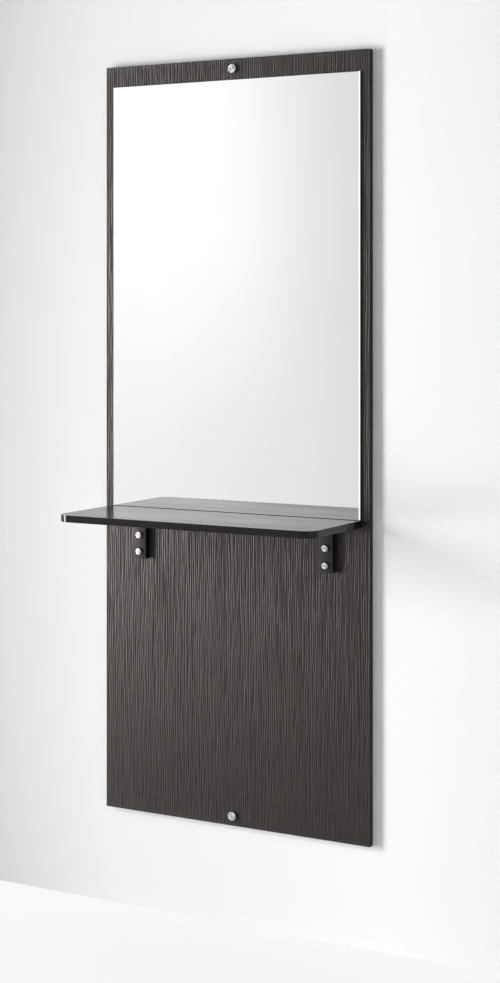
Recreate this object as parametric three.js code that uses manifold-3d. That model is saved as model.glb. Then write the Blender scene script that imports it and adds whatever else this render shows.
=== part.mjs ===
// Wall-hung salon styling station: two butted panels, a frameless mirror, and a shelf on two brackets.
// Millimetres, +X to the right, +Y into the wall, +Z up.
// The origin lies on the wall plane, on the centre line, at half the station's height.

import * as THREE from "three";
import { mergeVertices } from "three/addons/utils/BufferGeometryUtils.js";
import Module from "manifold-3d";

const wasm = await Module();
wasm.setup();

// Panels
const STATION_HEIGHT = 2000;
const PANEL_WIDTH = 790;
const PANEL_THICKNESS = 18;
const PANEL_BAND = 1;

// Shelf
const SHELF_HEIGHT = 817; // top face above the lower edge of the station
const SHELF_SIDE_MARGIN = 22; // from the panel's sides to the shelf's ends
const SHELF_DEPTH = 270; // from the panel's face
const SHELF_THICKNESS = 18;
const SHELF_CORNER_RADIUS = 36;
const SHELF_BAND = 1;

// Mirror
const MIRROR_SIDE_MARGIN = 25;
const MIRROR_TOP_MARGIN = 54;
const MIRROR_FOOT_GAP = 1; // over the shelf's top
const GLASS_THICKNESS = 5;
const FILM_THICKNESS = 0.5;
const TAPE_THICKNESS = 1.5;
const TAPE_WIDTH = 25;
const TAPE_COUNT = 4;
const TAPE_MARGIN = 40; // from the mirror's edges

// Brackets, pressed as open channels and bent to an L
const BRACKET_INSET = 94; // from the shelf's ends to the brackets' middles
const BRACKET_WIDTH = 40;
const BRACKET_DEPTH = 16;
const BRACKET_WALL = 3;
const BRACKET_DROP = 118; // upright leg, below the shelf
const BRACKET_REACH = 140; // level leg, out from the panel
const BRACKET_BEND_RADIUS = 6;
const BRACKET_SCREW_END = 18; // from the foot of the upright leg
const BRACKET_SCREW_PITCH = 44;
const SHELF_SCREW_END = 25; // from the tip of the level leg
const SHELF_SCREW_PITCH = 60;

// Fasteners
const WALL_SCREW_INSET = 26; // from the top and lower edges
const WALL_SCREW_TIP_GAP = 0.5; // in front of the wall plane
const WALL_FIXING = { capRadius: 11.5, screwRadius: 3, headRadius: 6, headHeight: 3.2 };
const BRACKET_FIXING = { capRadius: 8.5, screwRadius: 2, headRadius: 4, headHeight: 2.2 };
const SHELF_SCREW = { screwRadius: 2.25, headRadius: 4, headHeight: 2.2 };
const PANEL_BITE = 14; // bracket screw's length in the lower panel
const CAP_WALL = 1.2;
const CAP_FACE = 1.5;
const CAP_CHAMFER = 0.6;
const CAP_CROWN = 0.3;
const CUP_FLOOR = 1.5;
const CUP_WALL = 1;
const CUP_RIM = 0.3; // how far the cup stands over the screw's head
const SCREW_POINT = 4;
const SHELF_BITE = 13; // shelf screw's length in the board
const DOWEL_RADIUS = 4;
const DOWEL_LENGTH = 30;
const DOWEL_CHAMFER = 0.8;
const DOWEL_COUNT = 4;
const DOWEL_INSET = 65; // from the panel's sides to the outer dowels

// Clearances
const SCREW_CLEARANCE = 0.3;
const CAP_CLEARANCE = 0.3;
const DOWEL_CLEARANCE = 0.3;
const BORE_END_CLEARANCE = 0.5;
const CAP_ROOF_CLEARANCE = 0.5;

// Facets
const CAP_SEGMENTS = 28;
const CUP_SEGMENTS = 20;
const SCREW_SEGMENTS = 12;
const CORNER_SEGMENTS = 8;
const BEND_SEGMENTS = 5;
const MERGE_DISTANCE = 1e-4;
const CUT_OVERRUN = 1; // how far a cutting solid passes the face that it opens

// Heights of the front view, from the station's half height
const STATION_TOP = STATION_HEIGHT / 2;
const STATION_FOOT = -STATION_HEIGHT / 2;
const SHELF_TOP = STATION_FOOT + SHELF_HEIGHT;
const SHELF_UNDERSIDE = SHELF_TOP - SHELF_THICKNESS;
const PANEL_JOINT = SHELF_TOP - SHELF_THICKNESS / 2;
const MIRROR_TOP = STATION_TOP - MIRROR_TOP_MARGIN;
const MIRROR_FOOT = SHELF_TOP + MIRROR_FOOT_GAP;

// Half widths and depths, from the centre line and the wall plane
const HALF_PANEL = PANEL_WIDTH / 2;
const HALF_CORE = HALF_PANEL - PANEL_BAND;
const HALF_SHELF = HALF_PANEL - SHELF_SIDE_MARGIN;
const HALF_MIRROR = HALF_PANEL - MIRROR_SIDE_MARGIN;
const BRACKET_FACE = PANEL_THICKNESS + BRACKET_DEPTH;

const finish = (color, roughness, metalness) =>
  new THREE.MeshStandardMaterial({ color, roughness, metalness });

const laminate = finish(0x3d3836, 0.45, 0);
const edging = finish(0x2e2a28, 0.5, 0);
const mirrorGlass = finish(0xe6e9ea, 0.03, 1);
const film = finish(0x9aa0a3, 0.5, 0);
const tape = finish(0xd8d8d4, 0.8, 0);
const bracketPaint = finish(0x2c2927, 0.55, 0.2);
const polished = finish(0xd9d9d8, 0.2, 1);
const zinc = finish(0xa9abac, 0.4, 1);
const beech = finish(0xc9a878, 0.8, 0);

const station = new THREE.Group();

// Front view: x to the right, y up, z out of the wall into the room
const front = new THREE.Group();
front.rotation.x = Math.PI / 2;
station.add(front);

function addPiece(group, name, geometry, material) {
  const mesh = new THREE.Mesh(geometry, material);
  mesh.name = name;
  group.add(mesh);
  return mesh;
}

function toSolid(geometry) {
  const bare = new THREE.BufferGeometry();
  bare.setAttribute("position", geometry.getAttribute("position"));
  bare.setIndex(geometry.getIndex());
  const merged = mergeVertices(bare, MERGE_DISTANCE);
  const vertProperties = new Float32Array(merged.getAttribute("position").array);
  const triVerts = new Uint32Array(merged.getIndex().array);
  return new wasm.Manifold(new wasm.Mesh({ numProp: 3, vertProperties, triVerts }));
}

function cut(geometry, tools) {
  const solid = tools.reduce((body, tool) => body.subtract(toSolid(tool)), toSolid(geometry));
  const mesh = solid.getMesh();
  return new THREE.BufferGeometry()
    .setAttribute("position", new THREE.BufferAttribute(mesh.vertProperties, 3))
    .setIndex(new THREE.BufferAttribute(mesh.triVerts, 1));
}

// A box between two opposite corners
function block([x0, y0, z0], [x1, y1, z1]) {
  return new THREE.BoxGeometry(x1 - x0, y1 - y0, z1 - z0)
    .translate((x0 + x1) / 2, (y0 + y1) / 2, (z0 + z1) / 2);
}

// A round bar along y between two heights
function barAlongY(radius, x, z, low, high) {
  return new THREE.CylinderGeometry(radius, radius, high - low, SCREW_SEGMENTS)
    .translate(x, (low + high) / 2, z);
}

// A round bar along z between two depths
function barAlongZ(radius, x, y, low, high) {
  return new THREE.CylinderGeometry(radius, radius, high - low, SCREW_SEGMENTS)
    .rotateX(Math.PI / 2)
    .translate(x, y, (low + high) / 2);
}

// A solid of revolution about y; the profile is a list of [radius, height], going outwards and then up
function turned(profile, segments) {
  const points = profile.map(([radius, height]) => new THREE.Vector2(radius, height));
  return new THREE.LatheGeometry(points, segments);
}

function extruded(points, depth) {
  return new THREE.ExtrudeGeometry(new THREE.Shape(points), { depth, bevelEnabled: false });
}

// Panels and dowels

const DOWEL_PITCH = (PANEL_WIDTH - 2 * DOWEL_INSET) / (DOWEL_COUNT - 1);
const DOWEL_PLACES = Array.from(
  { length: DOWEL_COUNT },
  (_, index) => DOWEL_INSET - HALF_PANEL + index * DOWEL_PITCH,
);

function dowelBores() {
  const radius = DOWEL_RADIUS + DOWEL_CLEARANCE;
  const reach = DOWEL_LENGTH / 2 + BORE_END_CLEARANCE;
  return DOWEL_PLACES.map((x) =>
    barAlongY(radius, x, PANEL_THICKNESS / 2, PANEL_JOINT - reach, PANEL_JOINT + reach),
  );
}

function panelBoard(foot, top) {
  return block([-HALF_CORE, foot, 0], [HALF_CORE, top, PANEL_THICKNESS]);
}

function wallScrewBore(height) {
  const radius = WALL_FIXING.screwRadius + SCREW_CLEARANCE;
  return barAlongZ(radius, 0, height, -CUT_OVERRUN, PANEL_THICKNESS + CUT_OVERRUN);
}

const BRACKET_SIDES = [
  { side: "left", x: BRACKET_INSET - HALF_SHELF },
  { side: "right", x: HALF_SHELF - BRACKET_INSET },
];
const LOWER_SCREW_DROP = BRACKET_DROP - BRACKET_SCREW_END;
const BRACKET_SCREW_DROPS = { upper: LOWER_SCREW_DROP - BRACKET_SCREW_PITCH, lower: LOWER_SCREW_DROP };
const BRACKET_SCREWS = BRACKET_SIDES.flatMap(({ side, x }) =>
  Object.entries(BRACKET_SCREW_DROPS).map(([place, drop]) => ({
    name: `${side}_${place}`,
    x,
    y: SHELF_UNDERSIDE - drop,
  })),
);
const WALL_SCREWS = [
  { name: "top", x: 0, y: STATION_TOP - WALL_SCREW_INSET },
  { name: "bottom", x: 0, y: STATION_FOOT + WALL_SCREW_INSET },
];

function bracketPilot({ x, y }) {
  const radius = BRACKET_FIXING.screwRadius + SCREW_CLEARANCE;
  const end = PANEL_THICKNESS - PANEL_BITE - BORE_END_CLEARANCE;
  return barAlongZ(radius, x, y, end, PANEL_THICKNESS + CUT_OVERRUN);
}

function addPanels() {
  const [topScrew, bottomScrew] = WALL_SCREWS;
  const upper = panelBoard(PANEL_JOINT, STATION_TOP - PANEL_BAND);
  const lower = panelBoard(STATION_FOOT + PANEL_BAND, PANEL_JOINT);
  const upperCuts = [...dowelBores(), wallScrewBore(topScrew.y)];
  const lowerCuts = [...dowelBores(), wallScrewBore(bottomScrew.y), ...BRACKET_SCREWS.map(bracketPilot)];
  addPiece(front, "upper_panel", cut(upper, upperCuts), laminate);
  addPiece(front, "lower_panel", cut(lower, lowerCuts), laminate);
}

function addPanelBands() {
  const strips = {
    upper_edge_top: [[-HALF_CORE, STATION_TOP - PANEL_BAND], [HALF_CORE, STATION_TOP]],
    upper_edge_left: [[-HALF_PANEL, PANEL_JOINT], [-HALF_CORE, STATION_TOP]],
    upper_edge_right: [[HALF_CORE, PANEL_JOINT], [HALF_PANEL, STATION_TOP]],
    lower_edge_bottom: [[-HALF_CORE, STATION_FOOT], [HALF_CORE, STATION_FOOT + PANEL_BAND]],
    lower_edge_left: [[-HALF_PANEL, STATION_FOOT], [-HALF_CORE, PANEL_JOINT]],
    lower_edge_right: [[HALF_CORE, STATION_FOOT], [HALF_PANEL, PANEL_JOINT]],
  };
  for (const [name, [low, high]] of Object.entries(strips)) {
    addPiece(front, name, block([...low, 0], [...high, PANEL_THICKNESS]), edging);
  }
}

function addDowels() {
  const end = DOWEL_LENGTH / 2;
  const tipRadius = DOWEL_RADIUS - DOWEL_CHAMFER;
  const profile = [
    [0, -end],
    [tipRadius, -end],
    [DOWEL_RADIUS, DOWEL_CHAMFER - end],
    [DOWEL_RADIUS, end - DOWEL_CHAMFER],
    [tipRadius, end],
    [0, end],
  ];
  DOWEL_PLACES.forEach((x, index) => {
    const dowel = addPiece(front, `panel_dowel_${index + 1}`, turned(profile, SCREW_SEGMENTS), beech);
    dowel.position.set(x, PANEL_JOINT, PANEL_THICKNESS / 2);
  });
}

// Mirror

function addMirror() {
  const filmBack = PANEL_THICKNESS + TAPE_THICKNESS;
  const glassBack = filmBack + FILM_THICKNESS;
  const sheet = (back, face) => block([-HALF_MIRROR, MIRROR_FOOT, back], [HALF_MIRROR, MIRROR_TOP, face]);
  addPiece(front, "mirror_glass", sheet(glassBack, glassBack + GLASS_THICKNESS), mirrorGlass);
  addPiece(front, "mirror_safety_film", sheet(filmBack, glassBack), film);

  const pitch = (2 * (HALF_MIRROR - TAPE_MARGIN) - TAPE_WIDTH) / (TAPE_COUNT - 1);
  for (let index = 0; index < TAPE_COUNT; index += 1) {
    const left = TAPE_MARGIN - HALF_MIRROR + index * pitch;
    const strip = block(
      [left, MIRROR_FOOT + TAPE_MARGIN, PANEL_THICKNESS],
      [left + TAPE_WIDTH, MIRROR_TOP - TAPE_MARGIN, filmBack],
    );
    addPiece(front, `mirror_tape_${index + 1}`, strip, tape);
  }
}

// Shelf, drawn in plan: x to the right, y into the wall

function shelfOutline(inset) {
  const half = HALF_SHELF - inset;
  const nose = -PANEL_THICKNESS - SHELF_DEPTH + inset;
  const radius = SHELF_CORNER_RADIUS - inset;
  const outline = new THREE.Path();
  outline.moveTo(-half, -PANEL_THICKNESS);
  outline.lineTo(-half, nose + radius);
  outline.absarc(radius - half, nose + radius, radius, Math.PI, 1.5 * Math.PI, false);
  outline.absarc(half - radius, nose + radius, radius, 1.5 * Math.PI, 2 * Math.PI, false);
  outline.lineTo(half, -PANEL_THICKNESS);
  return outline.getPoints(CORNER_SEGMENTS);
}

const FRONT_SCREW_REACH = BRACKET_REACH - SHELF_SCREW_END;
const SHELF_SCREW_REACHES = { front: FRONT_SCREW_REACH, rear: FRONT_SCREW_REACH - SHELF_SCREW_PITCH };
const SHELF_SCREWS = BRACKET_SIDES.flatMap(({ side, x }) =>
  Object.entries(SHELF_SCREW_REACHES).map(([place, reach]) => ({
    name: `${side}_${place}`,
    x,
    y: -PANEL_THICKNESS - reach,
  })),
);

function shelfPilot({ x, y }) {
  const radius = SHELF_SCREW.screwRadius + SCREW_CLEARANCE;
  const depth = SHELF_BITE + BORE_END_CLEARANCE;
  return barAlongZ(radius, x, y, SHELF_UNDERSIDE - CUT_OVERRUN, SHELF_UNDERSIDE + depth);
}

function addShelf() {
  const core = shelfOutline(SHELF_BAND);
  const board = extruded(core, SHELF_THICKNESS).translate(0, 0, SHELF_UNDERSIDE);
  addPiece(station, "shelf_board", cut(board, SHELF_SCREWS.map(shelfPilot)), laminate);

  const wrap = [...shelfOutline(0), ...core.slice().reverse()];
  const band = extruded(wrap, SHELF_THICKNESS).translate(0, 0, SHELF_UNDERSIDE);
  addPiece(station, "shelf_edge_band", band, edging);
}

// Brackets, drawn from the side: x out from the panel, y up from the shelf's underside

function bracketProfile(wall, overrun) {
  const inner = BRACKET_DEPTH - wall;
  const bend = BRACKET_BEND_RADIUS + wall;
  const profile = new THREE.Shape();
  profile.moveTo(-overrun, overrun);
  profile.lineTo(-overrun, wall - BRACKET_DROP);
  profile.lineTo(inner, wall - BRACKET_DROP);
  profile.absarc(inner + bend, -inner - bend, bend, Math.PI, Math.PI / 2, true);
  profile.lineTo(BRACKET_REACH - wall, -inner);
  profile.lineTo(BRACKET_REACH - wall, overrun);
  return profile;
}

function bracketChannel() {
  const extrude = (profile, depth) =>
    new THREE.ExtrudeGeometry(profile, { depth, bevelEnabled: false, curveSegments: BEND_SEGMENTS });
  const outside = extrude(bracketProfile(0, 0), BRACKET_WIDTH);
  const hollow = extrude(bracketProfile(BRACKET_WALL, CUT_OVERRUN), BRACKET_WIDTH - 2 * BRACKET_WALL)
    .translate(0, 0, BRACKET_WALL);
  const middle = BRACKET_WIDTH / 2;
  const holeEnd = BRACKET_DEPTH + CUT_OVERRUN;
  const panelHole = BRACKET_FIXING.screwRadius + SCREW_CLEARANCE;
  const panelHoles = Object.values(BRACKET_SCREW_DROPS).map((drop) =>
    barAlongY(panelHole, 0, middle, 0, holeEnd).rotateZ(-Math.PI / 2).translate(0, -drop, 0),
  );
  const shelfHole = SHELF_SCREW.screwRadius + SCREW_CLEARANCE;
  const shelfHoles = Object.values(SHELF_SCREW_REACHES).map((reach) =>
    barAlongY(shelfHole, reach, middle, -holeEnd, 0),
  );
  return cut(outside, [hollow, ...panelHoles, ...shelfHoles]);
}

function addBrackets() {
  for (const { side, x } of BRACKET_SIDES) {
    const bracket = addPiece(front, `shelf_bracket_${side}`, bracketChannel(), bracketPaint);
    bracket.rotation.y = -Math.PI / 2;
    bracket.position.set(x + BRACKET_WIDTH / 2, SHELF_UNDERSIDE, PANEL_THICKNESS);
  }
}

// Screws, cup bases and caps

function screwProfile({ screwRadius, headRadius, headHeight }, seat, length) {
  const round = headHeight / 2;
  return [
    [0, seat - length],
    [screwRadius, seat - length + SCREW_POINT],
    [screwRadius, seat],
    [headRadius, seat],
    [headRadius, seat + headHeight - round],
    [headRadius - round, seat + headHeight],
    [0, seat + headHeight],
  ];
}

function cupHeight({ headHeight }) {
  return CUP_FLOOR + headHeight + CUP_RIM;
}

function cupProfile(fixing) {
  const bore = fixing.screwRadius + SCREW_CLEARANCE;
  const outside = fixing.capRadius - CAP_WALL - CAP_CLEARANCE;
  const inside = outside - CUP_WALL;
  const rim = cupHeight(fixing);
  return [
    [bore, 0],
    [outside, 0],
    [outside, rim],
    [inside, rim],
    [inside, CUP_FLOOR],
    [bore, CUP_FLOOR],
    [bore, 0],
  ];
}

function capProfile(fixing) {
  const { capRadius } = fixing;
  const inside = capRadius - CAP_WALL;
  const roof = cupHeight(fixing) + CAP_ROOF_CLEARANCE;
  const capHeight = roof + CAP_FACE;
  const rimHeight = capHeight - CAP_CROWN;
  return [
    [0, roof],
    [inside, roof],
    [inside, 0],
    [capRadius, 0],
    [capRadius, rimHeight - CAP_CHAMFER],
    [capRadius - CAP_CHAMFER, rimHeight],
    [capRadius / 2, capHeight - CAP_CROWN / 4],
    [0, capHeight],
  ];
}

// A capped screw whose cup stands on a face at depth seat; reach is how far the screw goes behind that face
function addCappedScrew(label, { name, x, y }, fixing, seat, reach) {
  const fastener = new THREE.Group();
  fastener.position.set(x, y, seat);
  fastener.rotation.x = Math.PI / 2;
  front.add(fastener);
  const screw = screwProfile(fixing, CUP_FLOOR, CUP_FLOOR + reach);
  addPiece(fastener, `${label}_screw_${name}`, turned(screw, SCREW_SEGMENTS), zinc);
  addPiece(fastener, `${label}_cap_base_${name}`, turned(cupProfile(fixing), CUP_SEGMENTS), zinc);
  addPiece(fastener, `${label}_cap_${name}`, turned(capProfile(fixing), CAP_SEGMENTS), polished);
}

function addFasteners() {
  for (const place of WALL_SCREWS) {
    addCappedScrew("wall", place, WALL_FIXING, PANEL_THICKNESS, PANEL_THICKNESS - WALL_SCREW_TIP_GAP);
  }
  for (const place of BRACKET_SCREWS) {
    addCappedScrew("bracket", place, BRACKET_FIXING, BRACKET_FACE, BRACKET_DEPTH + PANEL_BITE);
  }
  const shelfScrew = screwProfile(SHELF_SCREW, 0, BRACKET_DEPTH + SHELF_BITE);
  for (const { name, x, y } of SHELF_SCREWS) {
    const screw = addPiece(station, `shelf_screw_${name}`, turned(shelfScrew, SCREW_SEGMENTS), zinc);
    screw.rotation.x = -Math.PI / 2;
    screw.position.set(x, y, SHELF_UNDERSIDE - BRACKET_DEPTH);
  }
}

addPanels();
addPanelBands();
addDowels();
addMirror();
addShelf();
addBrackets();
addFasteners();

export default station;
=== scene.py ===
import math

import bmesh
import bpy
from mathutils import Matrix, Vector, noise


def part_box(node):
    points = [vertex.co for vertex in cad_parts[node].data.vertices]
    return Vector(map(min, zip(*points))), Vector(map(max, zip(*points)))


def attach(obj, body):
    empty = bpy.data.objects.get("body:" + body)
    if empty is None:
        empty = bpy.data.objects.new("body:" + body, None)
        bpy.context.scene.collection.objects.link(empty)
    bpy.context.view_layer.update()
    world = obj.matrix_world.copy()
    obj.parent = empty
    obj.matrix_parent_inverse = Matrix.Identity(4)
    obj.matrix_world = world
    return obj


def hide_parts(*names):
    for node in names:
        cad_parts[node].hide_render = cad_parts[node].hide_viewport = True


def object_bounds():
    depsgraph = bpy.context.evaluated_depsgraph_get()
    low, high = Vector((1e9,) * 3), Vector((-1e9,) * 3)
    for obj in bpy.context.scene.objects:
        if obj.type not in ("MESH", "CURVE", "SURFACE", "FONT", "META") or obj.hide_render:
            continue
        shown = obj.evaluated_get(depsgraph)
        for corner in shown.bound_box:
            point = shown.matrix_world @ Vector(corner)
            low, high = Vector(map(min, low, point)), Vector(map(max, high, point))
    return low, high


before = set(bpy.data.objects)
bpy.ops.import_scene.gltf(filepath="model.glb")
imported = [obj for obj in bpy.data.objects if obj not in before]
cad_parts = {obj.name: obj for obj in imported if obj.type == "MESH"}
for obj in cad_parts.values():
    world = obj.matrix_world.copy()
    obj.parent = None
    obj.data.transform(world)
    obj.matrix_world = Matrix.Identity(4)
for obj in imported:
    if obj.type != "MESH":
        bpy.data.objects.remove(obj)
cad_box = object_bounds()

MM = 0.001
TOUCH = 1e-6

# The camera stands level, right of the station, and its frame is shifted down
CAMERA_PLACE = Vector((2.4301, -4.2460, 0.3611))
CAMERA_YAW = math.radians(29.366)
SENSOR = 36.0
FOCAL_PIXELS = 1870.4
HORIZON_ROW = 303.7
FRAME_HEIGHT = 983

# Stage and lights
FLOOR_DROP = 0.263
STAGE_REACH = 9.0
STAGE_HEIGHT = 5.0
FLOOR_FRONT = 7.0
WALL_GAP = 0.8 * MM
WALL_LAP = 2 * MM
# The wall and floor paint darken towards the left over this span: painted shade, set against the key lamp's
# stronger light on that side
PAINTED_SHADE_SPAN = (-0.8, 0.45)
WALL_PAINTED_SHADE = ((0.0, 0.435), (0.32, 0.67), (1.0, 0.97))
WALL_LIFT = 0.02
FLOOR_PAINTED_SHADE = ((0.0, 0.84), (1.0, 0.88))
FLOOR_LIFT = 0.75
KEY_PLACE = Vector((-3.75, -2.45, -0.15))
KEY_AIM = Vector((0.0, 0.0, 0.0))
KEY_SIZE = (1.1, 3.3)
KEY_POWER = 325.0
AMBIENT = 0.34
ROOM_BRIGHT = 1.17
ROOM_FRONT_EDGE = (math.cos(math.radians(46)), math.cos(math.radians(37)))
ROOM_SLOPE = (-0.365, -0.53)
ROOM_SLOPE_LEVELS = (0.66, 0.915)
ROOM_PATCH = 0.18
ROOM_PATCH_SIDE = (-0.44, -0.505)
ROOM_PATCH_FOOT = (-0.105, 0.061)

# Embossed grain of the panels
GRAIN_PITCH = 6.5 * MM
GRAIN_COLUMN = 0.85 * MM
GRAIN_ROW = 12.5 * MM
GRAIN_DEPTH = 0.7 * MM
GRAIN_BORDER = 2 * MM
BACK_EASE = 0.6 * MM

# Edges and corners
BAND_ROUND = 0.6 * MM
SHELF_CORNER_RADIUS = 36 * MM
SHELF_CORNER_STEPS = 24
BAND_ROUND_STEPS = 4
MIRROR_BEVEL = 2.3 * MM
MIRROR_BEVEL_DEPTH = 3.2 * MM
BRACKET_BEND_RADIUS = 6 * MM
BRACKET_BEND_STEPS = 10
BRACKET_DEPTH = 16 * MM
BRACKET_WALL = 3 * MM
BRACKET_ROUND = 1.4 * MM
CAP_WALL = 1.2 * MM
CAP_FACE = 1.5 * MM
CAP_CHAMFER = 0.7 * MM
CAP_CROWN = 0.3 * MM
CAP_RING_PITCH = 0.5 * MM
CAP_RING_HEIGHT = 0.012 * MM
CAP_STEPS = 72
BORE_RADIUS = 3.3 * MM
BORE_DEPTH = 12 * MM
BORE_STEPS = 24
SHELF_SCREW_RADIUS = 2.25 * MM
THREAD_PITCH = 1.6 * MM


# Shader building

def shader(name):
    """A new material, its node tree and its principled shader."""
    material = bpy.data.materials.new(name)
    material.use_nodes = True
    tree = material.node_tree
    return material, tree, tree.nodes["Principled BSDF"]


def add_node(tree, kind, inputs=None, **settings):
    """A node with its settings; an input is a number, a colour or another node's output."""
    made = tree.nodes.new(kind)
    for key, value in settings.items():
        setattr(made, key, value)
    for key, value in (inputs or {}).items():
        if isinstance(value, bpy.types.NodeSocket):
            tree.links.new(value, made.inputs[key])
        else:
            made.inputs[key].default_value = value
    return made


def stretched_noise(tree, scale, stretch, detail=4.0, roughness=0.55):
    """Noise over the object's own coordinates, drawn out by stretch along each axis."""
    place = add_node(tree, "ShaderNodeTexCoord")
    mapping = add_node(tree, "ShaderNodeMapping", {"Vector": place.outputs["Object"], "Scale": stretch})
    inputs = {"Vector": mapping.outputs["Vector"], "Scale": scale, "Detail": detail, "Roughness": roughness}
    return add_node(tree, "ShaderNodeTexNoise", inputs).outputs["Fac"]


def ramp(tree, value, *stops):
    """A colour ramp; each stop is a place and a linear colour."""
    made = add_node(tree, "ShaderNodeValToRGB", {"Fac": value})
    elements = made.color_ramp.elements
    while len(elements) < len(stops):
        elements.new(0.5)
    for element, (place, colour) in zip(elements, stops):
        element.position = place
        element.color = (*colour, 1.0)
    return made.outputs["Color"]


def remap(tree, value, low, high, start=0.3, end=0.7, course="LINEAR"):
    inputs = {"Value": value, "From Min": start, "From Max": end, "To Min": low, "To Max": high}
    return add_node(tree, "ShaderNodeMapRange", inputs, interpolation_type=course).outputs["Result"]


def mix_colour(tree, factor, first, second, blend="MIX"):
    made = add_node(tree, "ShaderNodeMix", data_type="RGBA", blend_type=blend)
    for socket, value in zip((made.inputs[0], made.inputs[6], made.inputs[7]), (factor, first, second)):
        if isinstance(value, bpy.types.NodeSocket):
            tree.links.new(value, socket)
        elif isinstance(value, tuple):
            socket.default_value = (*value, 1.0)
        else:
            socket.default_value = value
    return made.outputs[2]


def reckon(tree, operation, *values):
    """A math node's result; each value is a number or another node's output."""
    return add_node(tree, "ShaderNodeMath", dict(enumerate(values)), operation=operation).outputs[0]


def add_bump(tree, bsdf, height, strength, distance):
    inputs = {"Height": height, "Strength": strength, "Distance": distance}
    bump = add_node(tree, "ShaderNodeBump", inputs)
    tree.links.new(bump.outputs["Normal"], bsdf.inputs["Normal"])


# Materials

LAMINATE_DARK = (0.0060, 0.0050, 0.0046)
LAMINATE_BASE = (0.0165, 0.0138, 0.0128)
LAMINATE_PALE = (0.036, 0.0315, 0.0295)
LAMINATE_WARM = (0.021, 0.0162, 0.0142)
# Painted shade that darkens the pressed grooves of the panels
GROOVE_PAINTED_SHADE = (0.22, 0.20, 0.19)
GROOVE_ROUGHNESS = 0.3
PORE_SHADE = (0.25, 0.24, 0.23)
WHITE = (1.0, 1.0, 1.0)
WARM_SHEEN = (1.0, 0.93, 0.90, 1.0)


def laminate(name, stretch, roughness, gloss, pore_height, embossed):
    """Dark wood-grain laminate: printed streaks, tone patches, fine pores, and, if it is embossed, duller
    grooves darkened with painted shade.
    """
    material, tree, bsdf = shader(name)
    streaks = stretched_noise(tree, 260.0, stretch, 5.0, 0.6)
    colour = ramp(tree, streaks, (0.28, LAMINATE_DARK), (0.5, LAMINATE_BASE), (0.78, LAMINATE_PALE))
    patches = stretched_noise(tree, 9.0, tuple(0.3 if s < 1 else 1.0 for s in stretch), 2.0)
    colour = mix_colour(tree, remap(tree, patches, 0.0, 0.6), colour, LAMINATE_WARM)
    spread = remap(tree, patches, roughness - 0.04, roughness + 0.05)
    dullness = reckon(tree, "ADD", remap(tree, streaks, 0.05, -0.05), spread)
    if embossed:
        grain = add_node(tree, "ShaderNodeAttribute", attribute_name="grain").outputs["Fac"]
        # Painted shade: the deepest parts of the pressed grooves are darkened in colour
        shade = ramp(tree, grain, (0.25, WHITE), (0.85, GROOVE_PAINTED_SHADE))
        colour = mix_colour(tree, 1.0, colour, shade, "MULTIPLY")
        groove = remap(tree, grain, 0.0, GROOVE_ROUGHNESS, 0.4, 1.0)
        dullness = reckon(tree, "ADD", dullness, groove)
    tree.links.new(dullness, bsdf.inputs["Roughness"])
    pores = stretched_noise(tree, 1100.0, tuple(0.4 * s if s < 1 else s for s in stretch), 3.0, 0.65)
    shade = ramp(tree, pores, (0.36, PORE_SHADE), (0.48, WHITE))
    colour = mix_colour(tree, 1.0, colour, shade, "MULTIPLY")
    tree.links.new(colour, bsdf.inputs["Base Color"])
    add_bump(tree, bsdf, pores, 0.35, pore_height)
    bsdf.inputs["Specular Tint"].default_value = WARM_SHEEN
    bsdf.inputs["Specular IOR Level"].default_value = gloss
    return material


def edge_band(name, stretch, roughness):
    """Smooth plastic edging with a faint printed streak along it."""
    material, tree, bsdf = shader(name)
    streaks = stretched_noise(tree, 420.0, stretch, 4.0)
    colour = ramp(tree, streaks, (0.3, (0.0045, 0.0038, 0.0034)), (0.7, (0.0095, 0.008, 0.0072)))
    tree.links.new(colour, bsdf.inputs["Base Color"])
    haze = stretched_noise(tree, 60.0, (1, 1, 1), 3.0)
    tree.links.new(remap(tree, haze, roughness - 0.04, roughness + 0.05), bsdf.inputs["Roughness"])
    add_bump(tree, bsdf, streaks, 0.06, 0.1 * MM)
    bsdf.inputs["Specular Tint"].default_value = WARM_SHEEN
    bsdf.inputs["Specular IOR Level"].default_value = 0.26
    return material


def silvered_glass():
    material, tree, bsdf = shader("silvered_glass")
    smear = stretched_noise(tree, 7.0, (1, 1, 0.6), 3.0)
    tree.links.new(ramp(tree, smear, (0.3, (0.93, 0.94, 0.94)), (0.7, (0.95, 0.955, 0.955))),
                   bsdf.inputs["Base Color"])
    tree.links.new(remap(tree, smear, 0.006, 0.02), bsdf.inputs["Roughness"])
    bsdf.inputs["Metallic"].default_value = 1.0
    return material


def ground_glass():
    """The ground edge of the mirror, faintly green, with fine grinding marks; its pale colour is partly the
    frosting's own and partly painted light, standing for light carried through the glass.
    """
    material, tree, bsdf = shader("ground_glass")
    marks = stretched_noise(tree, 700.0, (1, 1, 1), 3.0)
    tree.links.new(ramp(tree, marks, (0.3, (0.82, 0.87, 0.85)), (0.7, (0.93, 0.96, 0.95))),
                   bsdf.inputs["Base Color"])
    tree.links.new(remap(tree, marks, 0.12, 0.3), bsdf.inputs["Roughness"])
    add_bump(tree, bsdf, marks, 0.1, 0.05 * MM)
    return material


def polished_bevel():
    """The polished arris round the mirror's face, silvered from behind."""
    material, tree, bsdf = shader("polished_bevel")
    marks = stretched_noise(tree, 300.0, (1, 1, 1), 2.0)
    tree.links.new(ramp(tree, marks, (0.3, (0.93, 0.95, 0.945)), (0.7, (0.97, 0.98, 0.975))),
                   bsdf.inputs["Base Color"])
    tree.links.new(remap(tree, marks, 0.04, 0.12), bsdf.inputs["Roughness"])
    bsdf.inputs["Metallic"].default_value = 1.0
    return material


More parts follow.
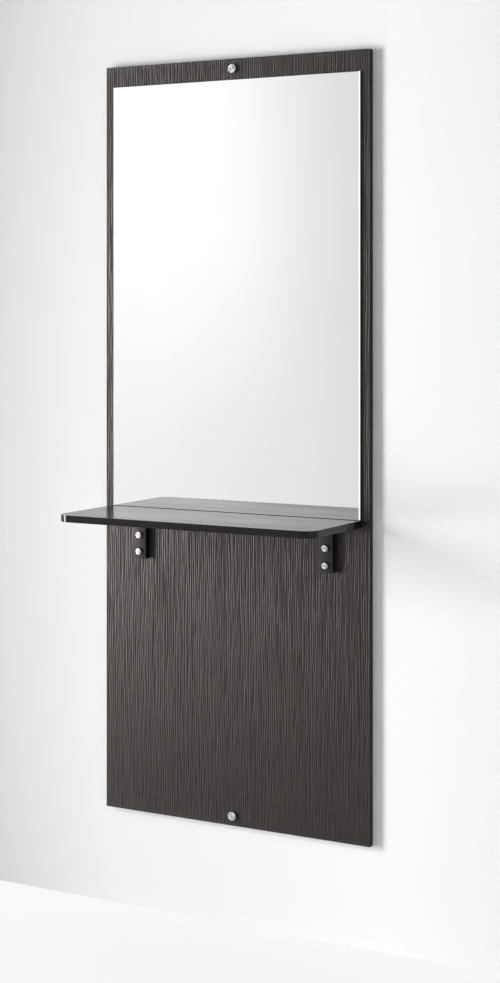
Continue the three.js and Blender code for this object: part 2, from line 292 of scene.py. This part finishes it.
def mirror_paint():
    material, tree, bsdf = shader("mirror_paint")
    cloud = stretched_noise(tree, 40.0, (1, 1, 1), 4.0)
    tree.links.new(ramp(tree, cloud, (0.3, (0.16, 0.18, 0.19)), (0.7, (0.22, 0.24, 0.25))),
                   bsdf.inputs["Base Color"])
    tree.links.new(remap(tree, cloud, 0.5, 0.7), bsdf.inputs["Roughness"])
    return material


def powder_coat():
    """Dark powder coat with its fine orange-peel texture."""
    material, tree, bsdf = shader("powder_coat")
    peel = stretched_noise(tree, 1300.0, (1, 1, 1), 2.0)
    tone = stretched_noise(tree, 30.0, (1, 1, 1), 3.0)
    tree.links.new(ramp(tree, tone, (0.3, (0.0075, 0.0064, 0.0058)), (0.7, (0.0115, 0.0098, 0.009))),
                   bsdf.inputs["Base Color"])
    tree.links.new(remap(tree, peel, 0.38, 0.52), bsdf.inputs["Roughness"])
    add_bump(tree, bsdf, peel, 0.22, 0.12 * MM)
    bsdf.inputs["Specular Tint"].default_value = WARM_SHEEN
    bsdf.inputs["Specular IOR Level"].default_value = 0.3
    return material


def turned_metal():
    """Polished nickel with the fine rings that turning leaves on the face."""
    material, tree, bsdf = shader("turned_metal")
    place = add_node(tree, "ShaderNodeTexCoord").outputs["Object"]
    wave = {"Vector": place, "Scale": 380.0, "Distortion": 1.5, "Detail": 3.0, "Detail Scale": 2.0}
    rings = add_node(tree, "ShaderNodeTexWave", wave, wave_type="RINGS", rings_direction="Y").outputs["Fac"]
    tree.links.new(ramp(tree, rings, (0.1, (0.37, 0.365, 0.36)), (0.9, (0.51, 0.505, 0.50))),
                   bsdf.inputs["Base Color"])
    tree.links.new(remap(tree, rings, 0.24, 0.32, 0.1, 0.9), bsdf.inputs["Roughness"])
    tangent = add_node(tree, "ShaderNodeTangent", direction_type="RADIAL", axis="Y")
    tree.links.new(tangent.outputs["Tangent"], bsdf.inputs["Tangent"])
    bsdf.inputs["Metallic"].default_value = 1.0
    bsdf.inputs["Anisotropic"].default_value = 0.75
    add_bump(tree, bsdf, rings, 0.1, 0.02 * MM)
    return material


def zinc_plate():
    material, tree, bsdf = shader("zinc_plate")
    spangle = stretched_noise(tree, 350.0, (1, 1, 1), 3.0)
    tree.links.new(ramp(tree, spangle, (0.3, (0.42, 0.43, 0.44)), (0.7, (0.58, 0.59, 0.60))),
                   bsdf.inputs["Base Color"])
    tree.links.new(remap(tree, spangle, 0.28, 0.46), bsdf.inputs["Roughness"])
    bsdf.inputs["Metallic"].default_value = 1.0
    return material


def foam_tape():
    material, tree, bsdf = shader("foam_tape")
    cells = stretched_noise(tree, 1500.0, (1, 1, 1), 2.0)
    tree.links.new(ramp(tree, cells, (0.3, (0.62, 0.62, 0.60)), (0.7, (0.74, 0.74, 0.72))),
                   bsdf.inputs["Base Color"])
    tree.links.new(remap(tree, cells, 0.75, 0.92), bsdf.inputs["Roughness"])
    add_bump(tree, bsdf, cells, 0.3, 0.1 * MM)
    return material


def backing_film():
    material, tree, bsdf = shader("backing_film")
    weave = stretched_noise(tree, 600.0, (1, 1, 0.2), 3.0)
    tree.links.new(ramp(tree, weave, (0.3, (0.27, 0.29, 0.30)), (0.7, (0.35, 0.37, 0.38))),
                   bsdf.inputs["Base Color"])
    tree.links.new(remap(tree, weave, 0.4, 0.6), bsdf.inputs["Roughness"])
    return material


def beech():
    material, tree, bsdf = shader("beech")
    fibre = stretched_noise(tree, 900.0, (1, 1, 0.06), 4.0)
    tree.links.new(ramp(tree, fibre, (0.3, (0.42, 0.27, 0.15)), (0.7, (0.60, 0.42, 0.25))),
                   bsdf.inputs["Base Color"])
    tree.links.new(remap(tree, fibre, 0.6, 0.8), bsdf.inputs["Roughness"])
    add_bump(tree, bsdf, fibre, 0.3, 0.2 * MM)
    return material


# Meshes

def finish_mesh(name, verts, faces, sharp=35):
    """A mesh with its faces turned outwards and its round stretches smooth."""
    mesh = bpy.data.meshes.new(name)
    mesh.from_pydata(verts, [], faces)
    shell = bmesh.new()
    shell.from_mesh(mesh)
    bmesh.ops.recalc_face_normals(shell, faces=shell.faces)
    shell.to_mesh(mesh)
    shell.free()
    mesh.shade_smooth()
    mesh.set_sharp_from_angle(angle=math.radians(sharp))
    return mesh


def add_piece(name, mesh, nodes, materials, place=(0, 0, 0)):
    """A piece of the station that stands for the given nodes of the frame."""
    for material in materials:
        mesh.materials.append(material)
    piece = bpy.data.objects.new(name, mesh)
    piece.location = place
    bpy.context.scene.collection.objects.link(piece)
    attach(piece, "root")
    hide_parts(*nodes)
    return piece


def spaced(low, high, step):
    count = max(1, round((high - low) / step))
    return [low + (high - low) * index / count for index in range(count + 1)]


def smooth(value, low, high):
    share = min(1.0, max(0.0, (value - low) / (high - low)))
    return share * share * (3 - 2 * share)


def grain_at(x, z):
    """How deep the grain is pressed at a place on a panel's face, from 0 to 1."""
    sway = 0.006 * noise.noise((x * 8, z * 2.2, 1.7)) + 0.0015 * noise.noise((x * 34, z * 7, 5.1))
    across = x + sway
    turns = across / GRAIN_PITCH + 0.6 * noise.noise((across * 110, z * 7, 2.2))
    comb = math.sin(2 * math.pi * turns) * (0.7 + 0.8 * noise.noise((across * 90, z * 16, 4.4)))
    strokes = noise.noise((across * 220, z * 21, 7.2))
    broad = noise.noise((across * 40, z * 2.5, 0.3))
    calm = 0.85 + 0.6 * noise.noise((x * 3.1, z * 1.3, 9.4))
    return smooth(calm * (0.45 * comb + 0.65 * strokes + 0.25 * broad), -0.4, 0.6)


def grained_board(name, low, high, bore_place):
    """A board with the grain in relief on its face, and the bore of its wall screw open at the back."""
    columns = spaced(low.x, high.x, GRAIN_COLUMN)
    rows = spaced(low.z, high.z, GRAIN_ROW)
    verts = []
    grain = []
    for z in rows:
        for x in columns:
            border = min(x - low.x, high.x - x, z - low.z, high.z - z)
            depth = grain_at(x, z) * smooth(border, 0.0, GRAIN_BORDER)
            verts.append((x, low.y + GRAIN_DEPTH * depth, z))
            grain.append(depth)
    across = len(columns)
    faces = []
    for r in range(len(rows) - 1):
        for c in range(across - 1):
            corner = r * across + c
            faces.append((corner, corner + 1, corner + across + 1, corner + across))

    x, z = bore_place
    shoulder = len(verts)
    for ease in (0.0, BACK_EASE):
        y = high.y - BACK_EASE + ease
        left, right, foot, head = low.x + ease, high.x - ease, low.z + ease, high.z - ease
        verts += [(left, y, foot), (x, y, foot), (right, y, foot)]
        verts += [(right, y, head), (x, y, head), (left, y, head)]
    rear = shoulder + 6
    faces += [(shoulder + s, shoulder + (s + 1) % 6, rear + (s + 1) % 6, rear + s) for s in range(6)]
    angles = [2 * math.pi * step / BORE_STEPS for step in range(BORE_STEPS)]
    rim = [(x + BORE_RADIUS * math.sin(a), z + BORE_RADIUS * math.cos(a)) for a in angles]
    mouth = len(verts)
    verts += [(u, high.y, w) for u, w in rim]
    floor = len(verts)
    verts += [(u, high.y - BORE_DEPTH, w) for u, w in rim]
    half = BORE_STEPS // 2
    right_rim = [mouth + step for step in range(half + 1)]
    left_rim = [mouth + step % BORE_STEPS for step in range(half, BORE_STEPS + 1)]
    faces.append((rear + 1, rear + 2, rear + 3, rear + 4, *right_rim))
    faces.append((rear + 4, rear + 5, rear, rear + 1, *left_rim))
    for step in range(BORE_STEPS):
        after = (step + 1) % BORE_STEPS
        faces.append((mouth + step, mouth + after, floor + after, floor + step))
    faces.append([floor + step for step in range(BORE_STEPS)])
    top = (len(rows) - 1) * across
    foot_left, foot_middle, foot_right, head_right, head_middle, head_left = range(shoulder, shoulder + 6)
    faces.append((foot_left, *range(across), foot_right, foot_middle))
    faces.append((head_left, *range(top, top + across), head_right, head_middle))
    faces.append((foot_left, *range(0, top + 1, across), head_left))
    faces.append((foot_right, *range(across - 1, top + across, across), head_right))

    mesh = finish_mesh(name, verts, faces)
    attribute = mesh.attributes.new("grain", "FLOAT", "POINT")
    attribute.data.foreach_set("value", grain + [0.0] * (len(verts) - len(grain)))
    return mesh


def eased_block(name, low, high, radius, chosen=lambda edge: True, steps=3):
    """A block whose chosen edges are rounded."""
    shell = bmesh.new()
    bmesh.ops.create_cube(shell, size=1.0)
    middle = (low + high) / 2
    size = high - low
    for vert in shell.verts:
        vert.co = middle + Vector(vert.co[axis] * size[axis] for axis in range(3))
    edges = [edge for edge in shell.edges if chosen(edge)]
    bmesh.ops.bevel(shell, geom=edges, offset=radius, segments=steps, profile=0.5, affect="EDGES")
    mesh = bpy.data.meshes.new(name)
    shell.to_mesh(mesh)
    shell.free()
    mesh.shade_smooth()
    mesh.set_sharp_from_angle(angle=math.radians(45))
    for polygon in mesh.polygons:
        polygon.use_smooth = max(abs(part) for part in polygon.normal) < 0.9999
    return mesh


def edges_at(axis, place):
    """Picks the edges that lie at a place along an axis."""
    return lambda edge: all(abs(vert.co[axis] - place) < TOUCH for vert in edge.verts)


def shelf_outline(half, back, nose, radius):
    """Plan of the shelf from its left end round to its right end: places and outward directions."""
    places = [(Vector((-half, back)), Vector((-1, 0)))]
    for side in (-1, 1):
        middle = Vector((side * (half - radius), nose + radius))
        for step in range(SHELF_CORNER_STEPS + 1):
            turn = math.pi / 2 * step / SHELF_CORNER_STEPS
            angle = turn if side > 0 else math.pi / 2 - turn
            outward = Vector((side * math.sin(angle), -math.cos(angle)))
            places.append((middle + radius * outward, outward))
    places.append((Vector((half, back)), Vector((1, 0))))
    return places


def prism(name, outline, low, high):
    """An upright solid over a plan outline."""
    count = len(outline)
    verts = [(p.x, p.y, low) for p in outline] + [(p.x, p.y, high) for p in outline]
    faces = [list(range(count)), list(range(count, 2 * count))]
    for step in range(count):
        after = (step + 1) % count
        faces.append((step, after, count + after, count + step))
    return finish_mesh(name, verts, faces)


def wrapped_band(name, outline, thickness, low, high):
    """Edging wrapped round a plan outline, with both outer edges rounded."""
    section = [(0.0, low), (thickness - BAND_ROUND, low)]
    for edge, start in ((low + BAND_ROUND, -90), (high - BAND_ROUND, 0)):
        for step in range(BAND_ROUND_STEPS + 1):
            angle = math.radians(start + 90 * step / BAND_ROUND_STEPS)
            out = thickness - BAND_ROUND + BAND_ROUND * math.cos(angle)
            section.append((out, edge + BAND_ROUND * math.sin(angle)))
    section += [(thickness - BAND_ROUND, high), (0.0, high)]
    section = [p for i, p in enumerate(section) if i == 0 or math.dist(p, section[i - 1]) > TOUCH]
    count = len(section)
    verts = []
    for place, outward in outline:
        for out, height in section:
            spot = place + outward * (out - thickness)
            verts.append((spot.x, spot.y, height))
    faces = []
    for ring in range(len(outline) - 1):
        for step in range(count):
            after = (step + 1) % count
            start = ring * count
            faces.append((start + step, start + after, start + count + after, start + count + step))
    faces.append(list(range(count)))
    faces.append(list(range(len(verts) - count, len(verts))))
    return finish_mesh(name, verts, faces)


def bracket_shell(name, low, high):
    """The outer skin of a pressed channel bent to an L, open towards the panel and the shelf."""
    panel, tip = high.y, low.y
    face = panel - BRACKET_DEPTH
    underside = high.z - BRACKET_DEPTH
    skin = [(panel, low.z), (face, low.z)]
    centre = (face - BRACKET_BEND_RADIUS, underside - BRACKET_BEND_RADIUS)
    for step in range(BRACKET_BEND_STEPS + 1):
        angle = math.pi / 2 * step / BRACKET_BEND_STEPS
        skin.append((centre[0] + BRACKET_BEND_RADIUS * math.cos(angle),
                     centre[1] + BRACKET_BEND_RADIUS * math.sin(angle)))
    skin += [(tip, underside), (tip, high.z)]
    count = len(skin)
    verts = [(low.x, y, z) for y, z in skin] + [(high.x, y, z) for y, z in skin]
    verts += [(low.x, panel, high.z), (high.x, panel, high.z)]
    faces = [(s, s + 1, count + s + 1, count + s) for s in range(count - 1)]
    faces.append((*range(count), 2 * count))
    faces.append((*range(count, 2 * count), 2 * count + 1))
    shell = bmesh.new()
    made = [shell.verts.new(v) for v in verts]
    for face_verts in faces:
        shell.faces.new([made[index] for index in face_verts])
    bmesh.ops.recalc_face_normals(shell, faces=shell.faces)
    creases = [e for e in shell.edges if len(e.link_faces) == 2 and e.calc_face_angle() > math.radians(40)]
    bmesh.ops.bevel(shell, geom=creases, offset=BRACKET_ROUND, segments=4, profile=0.5, affect="EDGES")
    mesh = bpy.data.meshes.new(name)
    shell.to_mesh(mesh)
    shell.free()
    mesh.shade_smooth()
    mesh.set_sharp_from_angle(angle=math.radians(50))
    return mesh


def turned(name, profile, steps, axis):
    """A solid turned about an axis through the origin; the profile is a list of radius and height."""
    side = axis.orthogonal().normalized()
    across = axis.cross(side)
    verts = []
    rings = []
    for radius, height in profile:
        if radius < TOUCH:
            rings.append([len(verts)])
            verts.append(axis * height)
            continue
        rings.append(list(range(len(verts), len(verts) + steps)))
        for step in range(steps):
            angle = 2 * math.pi * step / steps
            verts.append(axis * height + radius * (math.cos(angle) * side + math.sin(angle) * across))
    faces = []
    for lower, upper in zip(rings[:-1], rings[1:]):
        for step in range(steps):
            after = (step + 1) % steps
            loop = [lower[step % len(lower)], lower[after % len(lower)]]
            loop += [upper[after % len(upper)], upper[step % len(upper)]]
            faces.append(list(dict.fromkeys(loop)))
    return finish_mesh(name, verts, faces, 30)


def cap_profile(radius, height):
    """Half section of a hollow cap with a rounded rim and a faintly ringed, crowned face."""
    inside = radius - CAP_WALL
    roof = height - CAP_FACE
    rim = height - CAP_CROWN
    profile = [(0.0, roof), (inside, roof), (inside, 0.0), (radius, 0.0)]
    for step in range(6):
        angle = math.pi / 2 * step / 5
        profile.append((radius - CAP_CHAMFER + CAP_CHAMFER * math.cos(angle),
                        rim - CAP_CHAMFER + CAP_CHAMFER * math.sin(angle)))
    face = radius - CAP_CHAMFER
    rings = round(face / CAP_RING_PITCH)
    for step in range(1, rings):
        out = face * (1 - step / rings)
        crown = CAP_CROWN * (1 - (out / face) ** 2)
        profile.append((out, rim + crown + CAP_RING_HEIGHT * (step % 2)))
    profile.append((0.0, height))
    return profile


def pan_screw(name, head_radius, head_height, shank_radius, length):
    """A cross-headed screw pointing up from its seat at the origin, its thread cut as rings."""
    profile = [(0.0, -head_height)]
    for step in range(1, 7):
        angle = math.pi / 2 * step / 6
        profile.append((head_radius * math.sin(angle), -head_height * (0.25 + 0.75 * math.cos(angle))))
    profile += [(head_radius, 0.0), (shank_radius, 0.0)]
    height = THREAD_PITCH
    while height < length - 2 * shank_radius:
        profile += [(0.75 * shank_radius, height), (shank_radius, height + THREAD_PITCH / 2)]
        height += THREAD_PITCH
    profile.append((0.0, length))
    mesh = turned(name, profile, 32, Vector((0, 0, 1)))

    arm, slot = 0.58 * head_radius, 0.13 * head_radius
    plan = [(arm, -slot), (arm, slot), (slot, slot), (slot, arm), (-slot, arm), (-slot, slot)]
    plan += [(-x, -y) for x, y in plan]
    floor = -0.35 * head_height
    verts = [(x, y, -2 * head_height) for x, y in plan] + [(0.6 * x, 0.6 * y, floor) for x, y in plan]
    count = len(plan)
    faces = [list(range(count)), list(range(count, 2 * count))]
    faces += [(s, (s + 1) % count, count + (s + 1) % count, count + s) for s in range(count)]
    return carved(mesh, finish_mesh(name + "_recess", verts, faces))


def carved(mesh, cutter):
    """The mesh with the cutter taken out of it."""
    scene = bpy.context.scene
    body = bpy.data.objects.new("carved", mesh)
    tool = bpy.data.objects.new("cutter", cutter)
    for item in (body, tool):
        scene.collection.objects.link(item)
    cut = body.modifiers.new("cut", "BOOLEAN")
    cut.object = tool
    cut.operation = "DIFFERENCE"
    cut.solver = "EXACT"
    graph = bpy.context.evaluated_depsgraph_get()
    result = bpy.data.meshes.new_from_object(body.evaluated_get(graph))
    for item in (body, tool):
        bpy.data.objects.remove(item)
    for spent in (mesh, cutter):
        bpy.data.meshes.remove(spent)
    result.shade_smooth()
    result.set_sharp_from_angle(angle=math.radians(30))
    return result


# Pieces

def build_panels():
    face = laminate("panel_laminate", (1, 1, 0.03), 0.38, 0.34, 0.25 * MM, True)
    top_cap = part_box("wall_cap_top")
    foot_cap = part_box("wall_cap_bottom")
    for node, cap in (("upper_panel", top_cap), ("lower_panel", foot_cap)):
        low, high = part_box(node)
        middle = (cap[0] + cap[1]) / 2
        mesh = grained_board(node + "_grained", low, high, (middle.x, middle.z))
        add_piece(node + "_grained", mesh, [node], [face])


def build_panel_bands():
    upright = edge_band("upright_band", (1, 1, 0.03), 0.36)
    level = edge_band("level_band", (0.03, 1, 1), 0.36)
    for half, ends in (("upper", "top"), ("lower", "bottom")):
        for place in (ends, "left", "right"):
            node = f"{half}_edge_{place}"
            low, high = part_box(node)
            radius = min(BAND_ROUND, 0.45 * min(high.x - low.x, high.z - low.z))
            outer = {"left": (0, low.x), "right": (0, high.x), "top": (2, high.z), "bottom": (2, low.z)}
            mesh = eased_block(node + "_eased", low, high, radius, edges_at(*outer[place]))
            add_piece(node + "_eased", mesh, [node], [level if place == ends else upright])


def build_mirror():
    low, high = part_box("mirror_glass")
    on_face = edges_at(1, low.y)
    at_foot = edges_at(2, low.z)

    def polished(edge):
        return on_face(edge) and not at_foot(edge)

    mesh = eased_block("mirror_sheet", low, high, MIRROR_BEVEL, polished, 1)
    for vert in mesh.vertices:
        if abs(vert.co.y - low.y - MIRROR_BEVEL) < TOUCH:
            vert.co.y = low.y + MIRROR_BEVEL_DEPTH
    mesh.shade_flat()
    add_piece("mirror_sheet", mesh, ["mirror_glass"],
              [silvered_glass(), polished_bevel(), ground_glass(), mirror_paint()])
    for polygon in mesh.polygons:
        toward = polygon.normal.y
        if toward < -0.999:
            polygon.material_index = 0
        elif toward < -0.02:
            polygon.material_index = 1
        elif toward < 0.5:
            polygon.material_index = 2
        else:
            polygon.material_index = 3


def build_shelf():
    low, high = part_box("shelf_edge_band")
    board_low, board_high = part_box("shelf_board")
    thickness = high.x - board_high.x
    outline = shelf_outline(high.x, high.y, low.y, SHELF_CORNER_RADIUS)
    core = [place - outward * thickness for place, outward in outline]
    board = prism("shelf_board_laminated", core, board_low.z, board_high.z)
    top = laminate("shelf_laminate", (0.03, 1, 1), 0.2, 0.46, 0.05 * MM, False)
    add_piece("shelf_board_laminated", board, ["shelf_board"], [top])
    band = wrapped_band("shelf_band_rounded", outline, thickness, low.z, high.z)
    edging = edge_band("shelf_band", (0.2, 0.2, 1), 0.11)
    add_piece("shelf_band_rounded", band, ["shelf_edge_band"], [edging])


def build_brackets():
    coat = powder_coat()
    for side in ("left", "right"):
        node = f"shelf_bracket_{side}"
        mesh = bracket_shell(node + "_pressed", *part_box(node))
        piece = add_piece(node + "_pressed", mesh, [node], [coat])
        wall = piece.modifiers.new("wall", "SOLIDIFY")
        wall.thickness = BRACKET_WALL
        wall.offset = -1.0


def build_caps():
    metal = turned_metal()
    nodes = [f"bracket_cap_{side}_{place}" for side in ("left", "right") for place in ("upper", "lower")]
    for node in nodes + ["wall_cap_top", "wall_cap_bottom"]:
        low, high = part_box(node)
        middle = (low + high) / 2
        profile = cap_profile((high.x - low.x) / 2, high.y - low.y)
        mesh = turned(node + "_turned", profile, CAP_STEPS, Vector((0, -1, 0)))
        add_piece(node + "_turned", mesh, [node], [metal], (middle.x, high.y, middle.z))


def build_shelf_screws(zinc):
    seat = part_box("shelf_bracket_left")[1].z - BRACKET_DEPTH
    for side in ("left", "right"):
        for place in ("front", "rear"):
            node = f"shelf_screw_{side}_{place}"
            low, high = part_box(node)
            middle = (low + high) / 2
            head_radius = (high.x - low.x) / 2
            head_height = seat - low.z
            length = high.z - seat
            mesh = pan_screw(node + "_crossed", head_radius, head_height, SHELF_SCREW_RADIUS, length)
            add_piece(node + "_crossed", mesh, [node], [zinc], (middle.x, middle.y, seat))


def dress_hidden_nodes(zinc):
    """Materials for the nodes that keep their own shape."""
    finishes = {
        "mirror_safety_film": backing_film(),
        "mirror_tape": foam_tape(),
        "panel_dowel": beech(),
        "_screw_": zinc,
        "_cap_base_": zinc,
    }
    for name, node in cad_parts.items():
        for words, material in finishes.items():
            if words in name and not node.hide_render:
                node.data.materials.clear()
                node.data.materials.append(material)


# Stage

def stage_plane(name, verts, faces, material):
    mesh = bpy.data.meshes.new(name)
    mesh.from_pydata(verts, [], faces)
    mesh.materials.append(material)
    plane = bpy.data.objects.new(name, mesh)
    bpy.context.scene.collection.objects.link(plane)


def stage_paint(name, painted_shade_stops, lift):
    """Matt paint, clear from behind, darkened towards the left with painted shade set against the key lamp's
    stronger light there; lift is the share that shows plain white.
    """
    material, tree, bsdf = shader(name)
    spot = add_node(tree, "ShaderNodeTexCoord").outputs["Object"]
    across = add_node(tree, "ShaderNodeSeparateXYZ", {0: spot}).outputs["X"]
    share = remap(tree, across, 0.0, 1.0, *PAINTED_SHADE_SPAN)
    # Painted shade: the paint darkens towards the left
    base = ramp(tree, share, *((place, (grey,) * 3) for place, grey in painted_shade_stops))
    tree.links.new(base, bsdf.inputs["Base Color"])
    bsdf.inputs["Roughness"].default_value = 0.9
    bsdf.inputs["Specular IOR Level"].default_value = 0.1
    rays = add_node(tree, "ShaderNodeLightPath").outputs
    seen = reckon(tree, "MAXIMUM", rays["Is Camera Ray"], rays["Is Glossy Ray"])
    share = reckon(tree, "MULTIPLY", seen, lift)
    glow = add_node(tree, "ShaderNodeEmission", {"Color": (1, 1, 1, 1), "Strength": 1.0})
    surface = add_node(tree, "ShaderNodeMixShader", {0: share, 1: bsdf.outputs[0], 2: glow.outputs[0]})
    back = add_node(tree, "ShaderNodeNewGeometry").outputs["Backfacing"]
    clear = add_node(tree, "ShaderNodeBsdfTransparent")
    surface = add_node(tree, "ShaderNodeMixShader", {0: back, 1: surface.outputs[0], 2: clear.outputs[0]})
    tree.links.new(surface.outputs[0], tree.nodes["Material Output"].inputs["Surface"])
    return material


def build_stage():
    """A floor, and a wall that is open behind the panels so that light reaches their back."""
    low, high = cad_box
    ground = low.z - FLOOR_DROP
    reach = STAGE_REACH
    outer = [(-reach, ground), (reach, ground), (reach, STAGE_HEIGHT), (-reach, STAGE_HEIGHT)]
    left, right = low.x + WALL_LAP, high.x - WALL_LAP
    foot, head = low.z + WALL_LAP, high.z - WALL_LAP
    inner = [(left, foot), (right, foot), (right, head), (left, head)]
    verts = [(x, WALL_GAP, z) for x, z in outer + inner]
    faces = [(side, (side + 1) % 4, 4 + (side + 1) % 4, 4 + side) for side in range(4)]
    stage_plane("wall", verts, faces, stage_paint("wall_paint", WALL_PAINTED_SHADE, WALL_LIFT))
    verts = [(-reach, -FLOOR_FRONT, ground), (reach, -FLOOR_FRONT, ground),
             (reach, reach, ground), (-reach, reach, ground)]
    stage_plane("floor", verts, [range(4)], stage_paint("floor_paint", FLOOR_PAINTED_SHADE, FLOOR_LIFT))


def build_lights():
    data = bpy.data.lights.new("key", "AREA")
    data.shape = "RECTANGLE"
    data.size, data.size_y = KEY_SIZE
    data.energy = KEY_POWER
    key = bpy.data.objects.new("key", data)
    key.location = KEY_PLACE
    key.rotation_euler = (KEY_AIM - KEY_PLACE).to_track_quat("-Z", "Y").to_euler()
    bpy.context.scene.collection.objects.link(key)


def build_world():
    """Even light for matt surfaces; reflections see a bright room, dimmer in front but for one patch."""
    world = bpy.data.worlds.new("studio")
    bpy.context.scene.world = world
    world.use_nodes = True
    tree = world.node_tree
    way = add_node(tree, "ShaderNodeTexCoord").outputs["Generated"]
    parts = add_node(tree, "ShaderNodeSeparateXYZ", {0: way}).outputs
    slope = remap(tree, parts["X"], *ROOM_SLOPE_LEVELS, *ROOM_SLOPE)
    side = remap(tree, parts["X"], 0.0, ROOM_PATCH, *ROOM_PATCH_SIDE, "SMOOTHSTEP")
    rise = remap(tree, parts["Z"], 0.0, 1.0, *ROOM_PATCH_FOOT, "SMOOTHSTEP")
    front = reckon(tree, "MULTIPLY_ADD", side, rise, slope)
    forward = reckon(tree, "MULTIPLY", parts["Y"], -1.0)
    room = remap(tree, forward, ROOM_BRIGHT, front, *ROOM_FRONT_EDGE)
    rays = add_node(tree, "ShaderNodeLightPath").outputs
    shiny = reckon(tree, "MAXIMUM", rays["Is Glossy Ray"], rays["Is Transmission Ray"])
    level = remap(tree, shiny, AMBIENT, room, 0.0, 1.0)
    level = remap(tree, rays["Is Camera Ray"], level, 1.0, 0.0, 1.0)
    tree.links.new(level, tree.nodes["Background"].inputs["Strength"])
    tree.nodes["Background"].inputs["Color"].default_value = (1, 1, 1, 1)


def build_camera():
    data = bpy.data.cameras.new("camera")
    data.sensor_width = SENSOR
    data.lens = FOCAL_PIXELS * SENSOR / FRAME_HEIGHT
    data.shift_y = (HORIZON_ROW - FRAME_HEIGHT / 2) / FRAME_HEIGHT
    camera = bpy.data.objects.new("camera", data)
    camera.location = CAMERA_PLACE
    camera.rotation_euler = (math.pi / 2, 0.0, CAMERA_YAW)
    bpy.context.scene.collection.objects.link(camera)
    bpy.context.scene.camera = camera


bpy.context.scene.view_settings.view_transform = "Standard"
build_camera()
build_lights()
build_world()
build_stage()
build_panels()
build_panel_bands()
build_mirror()
build_shelf()
build_brackets()
build_caps()
zinc = zinc_plate()
build_shelf_screws(zinc)
dress_hidden_nodes(zinc)
